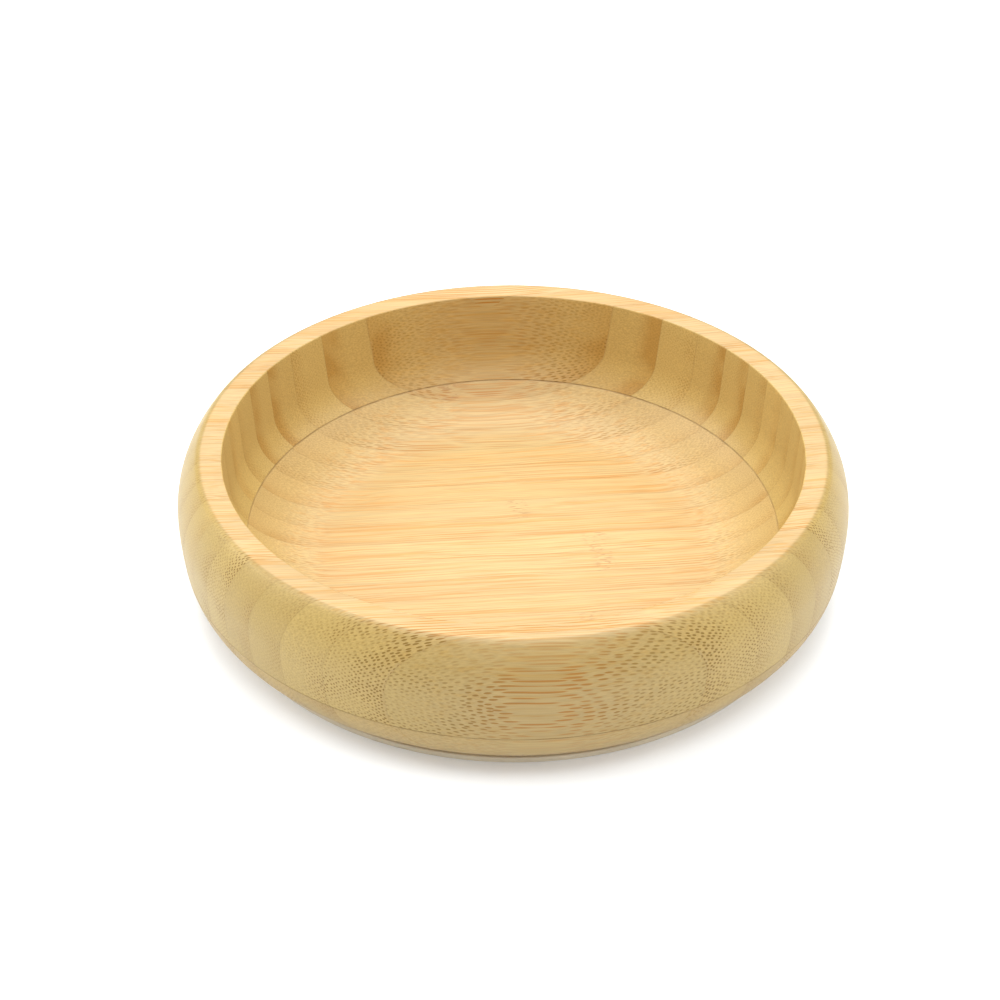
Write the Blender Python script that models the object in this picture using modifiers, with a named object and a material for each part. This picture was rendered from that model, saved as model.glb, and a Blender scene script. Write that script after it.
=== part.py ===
"""Suction bowl: a turned bamboo bowl that stands on a recessed silicone suction ring.

The bowl is turned from two boards that meet at one level glue joint. Each board is a row of bamboo
strips glued side by side, so every strip is a piece of its own. The suction ring plugs into a groove
under the floor board, and a release tab at the back peels its lip off the table.

Metres, +Z up. The origin is on the bowl's axis at the table. The grain of every strip runs along X.
"""

import math

import bpy

# Bowl, outside. Heights are above the table.
BELLY_RADIUS = 0.0750
BELLY_HEIGHT = 0.0214
GLUE_JOINT_HEIGHT = 0.0127
GLUE_JOINT_OUTER_RADIUS = 0.0744
UNDERSIDE_HEIGHT = 0.0014
BOTTOM_ROUND_RADIUS = 0.0130
SHOULDER_RADIUS = 0.0192
SHOULDER_END = math.radians(39.7)
RIM_ROUND_RADIUS = 0.0025
RIM_ROUND_END = math.radians(93)

# Bowl, inside.
WALL_TOP_RADIUS = 0.0644
RIM_INNER_HEIGHT = 0.03435
RIM_INNER_ARRIS = 0.00035
FLOOR_HEIGHT = 0.0046
FLAT_FLOOR_RADIUS = 0.0415
FLOOR_SWEEP_RADIUS = 0.0222
FLOOR_SWEEP_HEIGHT = 0.0176
FLOOR_SWEEP_END = math.radians(-2.6)

# Recess and groove under the floor board.
RECESS_OUTER_RADIUS = 0.0610
RECESS_INNER_RADIUS = 0.0472
RECESS_HEIGHT = 0.0026
GROOVE_MIDDLE_RADIUS = 0.0555
GROOVE_WIDTH = 0.0026
GROOVE_HEIGHT = 0.0056

# Bamboo strips. Each board starts with an outer cut at the front, the strips follow at one pitch.
STRIP_PITCH = 0.00732
WALL_FIRST_JOINT = -0.0675
FLOOR_FIRST_JOINT = -0.0681
JOINTS_PER_BOARD = 20

# Suction ring.
LIP_RADIUS = 0.0672
LIP_THICKNESS = 0.0013
LIP_ARRIS = 0.0003
SEAL_INNER_RADIUS = 0.0632
CHAMBER_ROOF_HEIGHT = 0.0008
CHAMBER_SLOPE = 0.0020
RING_INNER_RADIUS = 0.0475

# Release tab.
TAB_ROOT_RADIUS = 0.0676
TAB_END_RADIUS = 0.0766
TAB_WIDTH = 0.0180
TAB_THICKNESS = 0.0010
TAB_LIFT_OFF_TABLE = 0.0002
TAB_CORNER = 0.0035

CLEARANCE = 0.0003
TURNING_STEPS = 48
MERGE_DISTANCE = 0.00005

BAMBOO_WALL = ("bamboo_wall", (0.68, 0.47, 0.22), 0.45)
BAMBOO_FLOOR = ("bamboo_floor", (0.78, 0.52, 0.26), 0.45)
SILICONE = ("silicone", (0.50, 0.45, 0.35), 0.60)


def clear_scene():
    """Removes every object of the scene."""
    for found in list(bpy.data.objects):
        bpy.data.objects.remove(found, do_unlink=True)


def make_collection(name):
    """Returns a new collection linked to the scene."""
    collection = bpy.data.collections.new(name)
    bpy.context.scene.collection.children.link(collection)
    return collection


def place(obj, collection):
    """Moves an object into a collection, out of the ones it was made in."""
    for old in list(obj.users_collection):
        old.objects.unlink(obj)
    collection.objects.link(obj)
    return obj


def give_material(obj, finish):
    """Gives an object a Principled material of its own."""
    slot, colour, roughness = finish
    material = bpy.data.materials.new(f"{slot}_{obj.name}")
    material.use_nodes = True
    shader = material.node_tree.nodes["Principled BSDF"]
    shader.inputs["Base Color"].default_value = (*colour, 1.0)
    shader.inputs["Roughness"].default_value = roughness
    shader.inputs["Metallic"].default_value = 0.0
    obj.data.materials.append(material)


def arc(centre, radii, start, end, steps):
    """Points of an elliptic arc in the profile plane, both ends included."""
    points = []
    for i in range(steps + 1):
        angle = start + (end - start) * i / steps
        points.append((centre[0] + radii[0] * math.cos(angle), centre[1] + radii[1] * math.sin(angle)))
    return points


def shoulder_profile():
    """Outside of the wall board, from the rim's crown down to the glue joint."""
    centre = (BELLY_RADIUS - SHOULDER_RADIUS, BELLY_HEIGHT)
    reach = SHOULDER_RADIUS - RIM_ROUND_RADIUS
    crown = (centre[0] + reach * math.cos(SHOULDER_END), centre[1] + reach * math.sin(SHOULDER_END))
    rim = arc(crown, (RIM_ROUND_RADIUS,) * 2, RIM_ROUND_END, SHOULDER_END, 3)
    shoulder = arc(centre, (SHOULDER_RADIUS,) * 2, SHOULDER_END, 0.0, 4)
    return rim + shoulder[1:] + belly_profile(2)[1:]


def belly_radius():
    """Radius of the long arc that joins the widest point to the glue joint."""
    drop = BELLY_HEIGHT - GLUE_JOINT_HEIGHT
    inset = BELLY_RADIUS - GLUE_JOINT_OUTER_RADIUS
    return (drop * drop + inset * inset) / (2.0 * inset)


def joint_slope():
    """How far the outside leans in where the two boards meet."""
    return math.asin((BELLY_HEIGHT - GLUE_JOINT_HEIGHT) / belly_radius())


def belly_profile(steps):
    """The long arc from the widest point down to the glue joint."""
    radius = belly_radius()
    return arc((BELLY_RADIUS - radius, BELLY_HEIGHT), (radius,) * 2, 0.0, -joint_slope(), steps)


def bottom_profile():
    """Outside of the floor board, from the glue joint round to the flat underside."""
    slope = joint_slope()
    inset = BOTTOM_ROUND_RADIUS * math.cos(slope)
    centre = (GLUE_JOINT_OUTER_RADIUS - inset, UNDERSIDE_HEIGHT + BOTTOM_ROUND_RADIUS)
    return arc(centre, (BOTTOM_ROUND_RADIUS,) * 2, -slope, -math.pi / 2, 6)


def inside_angle(height):
    """Angle on the floor sweep at a height."""
    return -math.asin((FLOOR_HEIGHT + FLOOR_SWEEP_HEIGHT - height) / FLOOR_SWEEP_HEIGHT)


def floor_sweep(start, end, steps):
    """Part of the elliptic sweep between the flat floor and the wall."""
    centre = (FLAT_FLOOR_RADIUS, FLOOR_HEIGHT + FLOOR_SWEEP_HEIGHT)
    return arc(centre, (FLOOR_SWEEP_RADIUS, FLOOR_SWEEP_HEIGHT), start, end, steps)


def wall_board_profile():
    """Closed section of the wall board: down the outside, in along the joint, up the inside."""
    joint = GLUE_JOINT_HEIGHT + CLEARANCE / 2
    outside = shoulder_profile()
    outside[-1] = (outside[-1][0], joint)
    inside = floor_sweep(inside_angle(joint), FLOOR_SWEEP_END, 4)
    arris = [
        (WALL_TOP_RADIUS, RIM_INNER_HEIGHT - RIM_INNER_ARRIS),
        (WALL_TOP_RADIUS + RIM_INNER_ARRIS, RIM_INNER_HEIGHT),
    ]
    return outside + inside + arris


def floor_board_profile():
    """Section of the floor board, from the axis on the floor round to the axis underneath."""
    joint = GLUE_JOINT_HEIGHT - CLEARANCE / 2
    inside = floor_sweep(-math.pi / 2, inside_angle(joint), 5)
    outside = bottom_profile()
    outside[0] = (outside[0][0], joint)
    groove_inner = GROOVE_MIDDLE_RADIUS - GROOVE_WIDTH / 2
    groove_outer = GROOVE_MIDDLE_RADIUS + GROOVE_WIDTH / 2
    underside = [
        (RECESS_OUTER_RADIUS, UNDERSIDE_HEIGHT),
        (RECESS_OUTER_RADIUS, RECESS_HEIGHT),
        (groove_outer, RECESS_HEIGHT),
        (groove_outer, GROOVE_HEIGHT),
        (groove_inner, GROOVE_HEIGHT),
        (groove_inner, RECESS_HEIGHT),
        (RECESS_INNER_RADIUS, RECESS_HEIGHT),
        (RECESS_INNER_RADIUS, UNDERSIDE_HEIGHT),
        (0.0, UNDERSIDE_HEIGHT),
    ]
    return [(0.0, FLOOR_HEIGHT)] + inside + outside + underside


def suction_ring_profile():
    """Closed section of the suction ring: lip, sealing land, chamber roof, flange and collar."""
    collar_inner = GROOVE_MIDDLE_RADIUS - GROOVE_WIDTH / 2 + CLEARANCE
    collar_outer = GROOVE_MIDDLE_RADIUS + GROOVE_WIDTH / 2 - CLEARANCE
    collar_top = GROOVE_HEIGHT - CLEARANCE
    flange_top = RECESS_HEIGHT - CLEARANCE
    neck_top = UNDERSIDE_HEIGHT - CLEARANCE
    shoulder = RECESS_OUTER_RADIUS - CLEARANCE
    return [
        (LIP_RADIUS - LIP_ARRIS, LIP_THICKNESS),
        (LIP_RADIUS, LIP_THICKNESS - LIP_ARRIS),
        (LIP_RADIUS, LIP_ARRIS),
        (LIP_RADIUS - LIP_ARRIS, 0.0),
        (SEAL_INNER_RADIUS, 0.0),
        (SEAL_INNER_RADIUS - CHAMBER_SLOPE, CHAMBER_ROOF_HEIGHT - LIP_ARRIS),
        (SEAL_INNER_RADIUS - 2 * CHAMBER_SLOPE, CHAMBER_ROOF_HEIGHT),
        (RING_INNER_RADIUS + LIP_ARRIS, CHAMBER_ROOF_HEIGHT),
        (RING_INNER_RADIUS, CHAMBER_ROOF_HEIGHT + LIP_ARRIS),
        (RING_INNER_RADIUS, flange_top - LIP_ARRIS),
        (RING_INNER_RADIUS + LIP_ARRIS, flange_top),
        (collar_inner, flange_top),
        (collar_inner, collar_top - LIP_ARRIS),
        (collar_inner + LIP_ARRIS, collar_top),
        (collar_outer - LIP_ARRIS, collar_top),
        (collar_outer, collar_top - LIP_ARRIS),
        (collar_outer, flange_top),
        (shoulder, flange_top),
        (shoulder, neck_top),
    ]


def turned(name, points, closed, collection):
    """A profile with a Screw modifier. Its points run down the outer side, at +X."""
    mesh = bpy.data.meshes.new(name)
    edges = [(i, i + 1) for i in range(len(points) - 1)]
    if closed:
        edges.append((len(points) - 1, 0))
    mesh.from_pydata([(r, 0.0, z) for r, z in points], edges, [])
    obj = bpy.data.objects.new(name, mesh)
    collection.objects.link(obj)
    screw = obj.modifiers.new("turning", "SCREW")
    screw.axis = "Z"
    screw.steps = TURNING_STEPS
    screw.render_steps = TURNING_STEPS
    screw.use_smooth_shade = False
    screw.use_merge_vertices = True
    screw.merge_threshold = MERGE_DISTANCE
    return obj


def hide_as_guide(obj):
    """Marks an object as a guide that isn't part of the bowl."""
    obj.hide_render = True
    obj.display_type = "WIRE"
    return obj


def box(name, low, high, collection):
    """A box between two corners, with its scale applied."""
    middle = [(a + b) / 2 for a, b in zip(low, high)]
    bpy.ops.mesh.primitive_cube_add(size=1.0, location=middle)
    obj = bpy.context.object
    obj.name = name
    obj.scale = [b - a for a, b in zip(low, high)]
    bpy.ops.object.transform_apply(location=True, rotation=False, scale=True)
    return place(obj, collection)


def strip_bounds(first_joint):
    """Front and back face of each strip of a board, with the clearance between neighbours."""
    margin = 2 * BELLY_RADIUS
    joints = [first_joint + STRIP_PITCH * k for k in range(JOINTS_PER_BOARD)]
    fronts = [-margin] + [y + CLEARANCE / 2 for y in joints]
    backs = [y - CLEARANCE / 2 for y in joints] + [margin]
    return list(zip(fronts, backs))


def cut_strip(name, low, high, board, finish, collection, parent):
    """One bamboo strip: a slab of the board that it was glued into."""
    strip = box(name, low, high, collection)
    turned_faces = strip.modifiers.new("turned_faces", "BOOLEAN")
    turned_faces.operation = "INTERSECT"
    turned_faces.solver = "EXACT"
    turned_faces.object = board
    strip.parent = parent
    give_material(strip, finish)
    return strip


def build_wall(board, collection, parent):
    """The wall board's strips. Those that cross the bowl's inside are a left and a right piece."""
    reach = 2 * BELLY_RADIUS
    low_z = GLUE_JOINT_HEIGHT - BELLY_HEIGHT
    seam_radius = floor_sweep(inside_angle(GLUE_JOINT_HEIGHT), FLOOR_SWEEP_END, 1)[0][0]
    for number, (front, back) in enumerate(strip_bounds(WALL_FIRST_JOINT), 1):
        name = f"wall_strip_{number:02d}"
        if max(abs(front), abs(back)) < seam_radius:
            sides = {"_left": (-reach, 0.0), "_right": (0.0, reach)}
        else:
            sides = {"": (-reach, reach)}
        for side, (x_low, x_high) in sides.items():
            low = (x_low, front, low_z)
            high = (x_high, back, reach)
            cut_strip(name + side, low, high, board, BAMBOO_WALL, collection, parent)


def build_floor(board, collection, parent):
    """The floor board's strips, each one piece from side to side."""
    reach = 2 * BELLY_RADIUS
    for number, (front, back) in enumerate(strip_bounds(FLOOR_FIRST_JOINT), 1):
        low = (-reach, front, -reach)
        high = (reach, back, reach)
        name = f"floor_strip_{number:02d}"
        cut_strip(name, low, high, board, BAMBOO_FLOOR, collection, parent)


def build_suction_ring(collection):
    """The silicone ring that grips the table."""
    ring = turned("suction_ring", suction_ring_profile(), True, collection)
    give_material(ring, SILICONE)
    return ring


def tab_outline():
    """Flat outline of the tab about its bend line: a root that follows the lip, and round outer corners."""
    half = TAB_WIDTH / 2
    length = TAB_END_RADIUS - TAB_ROOT_RADIUS
    right = arc((half - TAB_CORNER, length - TAB_CORNER), (TAB_CORNER,) * 2, 0.0, math.pi / 2, 5)
    left = [(-x, y) for x, y in reversed(right)]
    root_radius = LIP_RADIUS + CLEARANCE
    reach = math.asin(half / root_radius)
    root = arc((0.0, -TAB_ROOT_RADIUS), (root_radius,) * 2, math.pi / 2 + reach, math.pi / 2 - reach, 6)
    return root + right + left


def build_release_tab(collection, parent):
    """The tab behind the lip. Its origin is on the line that it bends about."""
    curve = bpy.data.curves.new("release_tab", "CURVE")
    curve.dimensions = "2D"
    curve.fill_mode = "BOTH"
    curve.extrude = TAB_THICKNESS / 2
    outline = tab_outline()
    spline = curve.splines.new("POLY")
    spline.points.add(len(outline) - 1)
    for point, (x, y) in zip(spline.points, outline):
        point.co = (x, y, 0.0, 1.0)
    spline.use_cyclic_u = True
    tab = bpy.data.objects.new("release_tab", curve)
    collection.objects.link(tab)
    tab.location = (0.0, TAB_ROOT_RADIUS, TAB_LIFT_OFF_TABLE + TAB_THICKNESS / 2)
    tab.parent = parent
    give_material(tab, SILICONE)
    return tab


def main():
    """Builds the bowl, its suction ring and the release tab."""
    clear_scene()
    parts = make_collection("suction_bowl")
    guides = make_collection("cutters")

    wall_board = hide_as_guide(turned("wall_board", wall_board_profile(), True, guides))
    floor_board = hide_as_guide(turned("floor_board", floor_board_profile(), False, guides))

    bowl = bpy.data.objects.new("bowl", None)
    parts.objects.link(bowl)
    build_wall(wall_board, parts, bowl)
    build_floor(floor_board, parts, bowl)

    ring = build_suction_ring(parts)
    build_release_tab(parts, ring)


main()
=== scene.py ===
"""Looks of the suction bowl: finely turned bamboo strips, a silicone suction ring, a plain studio.

Metres, +Z up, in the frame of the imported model. The bowl's axis is Z and its grain runs along X.
"""

import logging
import math
from collections.abc import Iterator
from dataclasses import dataclass, field
from enum import Enum

import bmesh
import bpy
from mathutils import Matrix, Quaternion, Vector


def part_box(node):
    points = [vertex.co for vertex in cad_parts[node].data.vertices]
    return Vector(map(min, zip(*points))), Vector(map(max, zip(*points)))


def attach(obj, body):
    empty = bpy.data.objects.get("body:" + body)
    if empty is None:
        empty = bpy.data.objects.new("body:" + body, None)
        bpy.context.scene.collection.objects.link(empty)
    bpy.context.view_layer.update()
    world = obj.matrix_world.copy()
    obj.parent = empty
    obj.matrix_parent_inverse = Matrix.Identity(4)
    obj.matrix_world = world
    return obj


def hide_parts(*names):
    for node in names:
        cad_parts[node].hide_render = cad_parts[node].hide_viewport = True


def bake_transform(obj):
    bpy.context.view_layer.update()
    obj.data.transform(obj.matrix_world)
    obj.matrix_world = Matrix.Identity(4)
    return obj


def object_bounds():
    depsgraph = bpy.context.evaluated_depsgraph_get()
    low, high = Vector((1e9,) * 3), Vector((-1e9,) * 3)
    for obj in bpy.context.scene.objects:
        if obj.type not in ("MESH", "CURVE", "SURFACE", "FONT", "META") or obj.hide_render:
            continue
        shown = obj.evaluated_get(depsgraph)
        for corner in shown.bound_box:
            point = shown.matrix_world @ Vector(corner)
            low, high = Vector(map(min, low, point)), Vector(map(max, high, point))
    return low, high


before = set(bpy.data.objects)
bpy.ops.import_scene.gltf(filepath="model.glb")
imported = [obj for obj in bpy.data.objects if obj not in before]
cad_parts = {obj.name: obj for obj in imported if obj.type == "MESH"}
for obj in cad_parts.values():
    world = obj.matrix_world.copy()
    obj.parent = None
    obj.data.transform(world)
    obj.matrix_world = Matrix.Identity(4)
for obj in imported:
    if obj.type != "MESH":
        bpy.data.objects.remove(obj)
CAD_LOW, CAD_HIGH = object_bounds()

log = logging.getLogger("suction_bowl")

Point = tuple[float, float]
Section = list[Point]
Colour = tuple[float, float, float]
Sizes = tuple[float, float, float]
Socket = bpy.types.NodeSocket
Signal = Socket | float | Colour
Place = tuple[Signal, Signal, Signal]

# A ramp is the start and end of a change, and then the results before and after it, or 0 and 1.
Ramp = tuple[float, ...]

MILLIMETRE = 0.001
QUARTER = math.pi / 2
HASH_START = 2166136261
HASH_FACTOR = 16777619
HASH_SHARES = 10007


class Body(Enum):
    """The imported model's bodies."""

    BASE = "suction_base"
    BOWL = "bowl"
    TAB = "tab"


class Slot(Enum):
    """The record's material slots."""

    WALL = "bamboo_wall"
    FLOOR = "bamboo_floor"
    SILICONE = "silicone"


class Side(Enum):
    """Which end of a strip a piece keeps, where the turning has cut the strip in two."""

    BOTH = 0
    LEFT = -1
    RIGHT = 1


def arc(centre: Point, radii: Point, start: float, end: float, steps: int) -> Section:
    """Points along an elliptic arc of a section.

    Args:
        centre: Radius and height of the arc's centre.
        radii: Half width and half height of the ellipse.
        start: Angle of the first point, in radians from the outward direction.
        end: Angle of the last point.
        steps: Number of spans between the two.

    Returns:
        The points from start to end, both included.
    """
    points = []
    for i in range(steps + 1):
        angle = start + (end - start) * i / steps
        points.append((centre[0] + radii[0] * math.cos(angle), centre[1] + radii[1] * math.sin(angle)))
    return points


def scatter(key: str) -> float:
    """A fixed number from 0 to 1 that depends only on a piece's name.

    Args:
        key: The name.

    Returns:
        The same number for the same name in every run.
    """
    state = HASH_START
    for letter in key:
        state = ((state ^ ord(letter)) * HASH_FACTOR) % 2**32
    return (state >> 8) % HASH_SHARES / HASH_SHARES


def turned(section: Section, closed: bool, steps: int) -> bmesh.types.BMesh:
    """Turns a section about Z.

    Args:
        section: Radius and height of each point, down the outer side.
        closed: True for a ring's closed section, False for one that starts and ends on the axis.
        steps: Number of spans round the axis.

    Returns:
        The closed surface as a mesh in the making.
    """
    solid = bmesh.new()
    turns = [(math.cos(2 * math.pi * i / steps), math.sin(2 * math.pi * i / steps)) for i in range(steps)]
    rows = []
    for radius, height in section:
        if radius <= 0.0:
            rows.append([solid.verts.new((0.0, 0.0, height))] * steps)
        else:
            rows.append([solid.verts.new((radius * c, radius * s, height)) for c, s in turns])
    spans = list(zip(rows, rows[1:]))
    if closed:
        spans.append((rows[-1], rows[0]))
    for upper, lower in spans:
        for i in range(steps):
            j = (i + 1) % steps
            corners = list(dict.fromkeys((upper[i], lower[i], lower[j], upper[j])))
            solid.faces.new(corners)
    bmesh.ops.recalc_face_normals(solid, faces=solid.faces[:])
    return solid


def in_fixed_order(solid: bmesh.types.BMesh) -> bmesh.types.BMesh:
    """Rebuilds a mesh in the making with its faces in the order of their places, and frees it.

    Args:
        solid: The mesh, whose bevels may number its faces in another order each time.

    Returns:
        The same surface, numbered the same in every run.
    """
    loops = [[tuple(vert.co) for vert in face.verts] for face in solid.faces]
    solid.free()
    ordered = bmesh.new()
    places = sorted({place for loop in loops for place in loop})
    verts = {place: ordered.verts.new(place) for place in places}
    for loop in sorted(loops, key=sorted):
        ordered.faces.new([verts[place] for place in loop])
    return ordered


def finished_piece(name: str, solid: bmesh.types.BMesh, sharp_over: float) -> bpy.types.Object:
    """Makes a piece from a mesh in the making, and frees that mesh.

    Args:
        name: The piece's name.
        solid: The closed surface.
        sharp_over: Angle in radians over which an edge is shaded sharp.

    Returns:
        The new object, linked to the scene.
    """
    mesh = bpy.data.meshes.new(name)
    solid.to_mesh(mesh)
    solid.free()
    mesh.shade_smooth()
    mesh.set_sharp_from_angle(angle=sharp_over)
    piece = bpy.data.objects.new(name, mesh)
    bpy.context.scene.collection.objects.link(piece)
    return piece


class NodeSheet:
    """The shader nodes of one material, added and wired one call at a time."""

    def __init__(self, name: str) -> None:
        """Starts a material with a Principled shader.

        Args:
            name: The material's name.
        """
        self.material = bpy.data.materials.new(name)
        self.material.use_nodes = True
        self.tree = self.material.node_tree
        self.shader = self.tree.nodes["Principled BSDF"]

    def feed(self, socket: Socket, signal: Signal) -> None:
        """Links a socket to another, or sets its value.

        Args:
            socket: The input.
            signal: The output that feeds it, or a number or colour.
        """
        if isinstance(signal, Socket):
            self.tree.links.new(signal, socket)
        elif isinstance(signal, tuple) and len(socket.default_value) == 4:
            socket.default_value = (*signal, 1.0)
        else:
            socket.default_value = signal

    def add(self, kind: str, inputs: dict[int | str, Signal], **settings: object) -> bpy.types.Node:
        """Adds a node.

        Args:
            kind: The node's type, without its ShaderNode prefix.
            inputs: What each input takes, by name or number.
            settings: The node's own properties.

        Returns:
            The node.
        """
        node = self.tree.nodes.new(f"ShaderNode{kind}")
        for key, value in settings.items():
            setattr(node, key, value)
        for key, signal in inputs.items():
            self.feed(node.inputs[key], signal)
        return node

    def math(self, operation: str, *numbers: Signal, clamp: bool = False) -> Socket:
        """Adds a Math node. Clamp holds its result between 0 and 1."""
        inputs = dict(enumerate(numbers))
        return self.add("Math", inputs, operation=operation, use_clamp=clamp).outputs[0]

    def product(self, *signals: Signal) -> Socket:
        """Multiplies numbers.

        Args:
            signals: The numbers, at least two.

        Returns:
            Their product.
        """
        result = signals[0]
        for signal in signals[1:]:
            result = self.math("MULTIPLY", result, signal)
        return result

    def step(self, value: Signal, start: float, end: float, low: Signal = 0.0, high: Signal = 1.0) -> Socket:
        """Eases from one number to another as a value passes a range.

        Args:
            value: The value.
            start: Where the change begins.
            end: Where it is complete. It may be below start.
            low: The result before start.
            high: The result after end.

        Returns:
            The eased number.
        """
        if start > end:
            start, end, low, high = end, start, high, low
        inputs = {"Value": value, "From Min": start, "From Max": end, "To Min": low, "To Max": high}
        return self.add("MapRange", inputs, interpolation_type="SMOOTHSTEP").outputs[0]

    def between(self, share: Signal, low: Signal, high: Signal) -> Socket:
        """Eases from low to high as a share goes from 0 to 1."""
        return self.step(share, 0.0, 1.0, low, high)

    def scaled(self, vector: Signal, factor: float) -> Socket:
        """Multiplies a vector by a number."""
        return self.add("VectorMath", {0: vector, "Scale": factor}, operation="SCALE").outputs[0]

    def length(self, x: Signal, y: Signal) -> Socket:
        """Measures a flat vector."""
        return self.add("VectorMath", {0: self.point(x, y, 0.0)}, operation="LENGTH").outputs["Value"]

    def noise(
        self, vector: Signal, output: str = "Fac", detail: float = 2.0, roughness: float = 0.5
    ) -> Socket:
        """Adds noise around 0.5: Fac for one number, or Color for three. Detail is its octaves."""
        inputs = {"Vector": vector, "Scale": 1.0, "Detail": detail, "Roughness": roughness}
        return self.add("TexNoise", inputs).outputs[output]

    def point(self, x: Signal, y: Signal, z: Signal) -> Socket:
        """Joins three numbers into a vector."""
        return self.add("CombineXYZ", {0: x, 1: y, 2: z}).outputs[0]

    def mix(self, factor: Signal, first: Signal, second: Signal, mode: str = "MIX") -> Socket:
        """Mixes two colours. The factor is the second one's share."""
        node = self.add("Mix", {0: factor, 6: first, 7: second}, data_type="RGBA", blend_type=mode)
        return node.outputs[2]

    def tinted(self, colour: Signal, tint: Signal) -> Socket:
        """Multiplies a colour by another."""
        return self.mix(1.0, colour, tint, "MULTIPLY")

    def split(self, vector: Signal) -> tuple[Socket, ...]:
        """Parts a vector into its three numbers."""
        return tuple(self.add("SeparateXYZ", {0: vector}).outputs)

    def spread(self, place: Place, sizes: Sizes, shift: Signal) -> Socket:
        """Measures a place in spots of a given length along each axis, and shifts it."""
        x, y, z = (self.product(along, 1.0 / size) for along, size in zip(place, sizes))
        return self.point(x, y, self.math("ADD", z, shift))

    def grain(self, place: Place, sizes: Sizes, shift: Signal, detail: float = 0.0) -> Socket:
        """Adds noise around 0.5 whose spots have a given length in millimetres along each axis."""
        return self.noise(self.spread(place, sizes, shift), detail=detail, roughness=0.6)

    def attribute(self, name: str, output: str = "Vector") -> Socket:
        """Reads a named value of the mesh: a Vector, or Fac for a single number."""
        return self.add("Attribute", {}, attribute_name=name).outputs[output]

    def bump(self, relief: Signal, strength: float, height: float) -> Socket:
        """Turns relief of a height in millimetres into the direction that the surface faces."""
        inputs = {"Strength": strength, "Distance": height * MILLIMETRE, "Height": relief}
        return self.add("Bump", inputs).outputs[0]

    def finished(self, surface: dict[str, Signal]) -> bpy.types.Material:
        """Wires the shader and hands over the material.

        Args:
            surface: What each of the shader's inputs takes.

        Returns:
            The material.
        """
        for name, signal in surface.items():
            self.feed(self.shader.inputs[name], signal)
        return self.material


@dataclass(frozen=True)
class StripLook:
    """What sets one bamboo strip apart from its neighbours.

    Attributes:
        tone: How light it is.
        warmth: How warm its colour is.
        speckle: How strong its bundles are.
    """

    tone: float
    warmth: float
    speckle: float


@dataclass(frozen=True)
class BambooSpot:
    """What the bamboo's nodes know of the spot that they colour. Lengths are in millimetres.

    Attributes:
        place: X, Y and Z.
        fibre: X, and then Y and Z of the fibre that passes there.
        radius: Distance from the bowl's axis.
        facing: How much the face looks along each axis, either way.
        across: 1 where the face crosses the fibres, 0 where it runs along them.
        upright: 1 where the face stands up, 0 where it lies level.
        inside: 1 in the bowl's inside, 0 on its outside.
        front: Y of the strip's glue line in front.
        depth: Share of the strip's width, from its front.
        shift: What sets the strip's pattern apart.
        patch: Strength of the pattern there.
        tone: The strip's own tone.
        warmth: The strip's own warmth.
        speckle: The strip's own strength of bundles.
    """

    place: Place
    fibre: Place
    radius: Signal
    facing: Place
    across: Signal
    upright: Signal
    inside: Signal
    front: Signal
    depth: Signal
    shift: Signal
    patch: Signal
    tone: Signal
    warmth: Signal
    speckle: Signal


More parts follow.
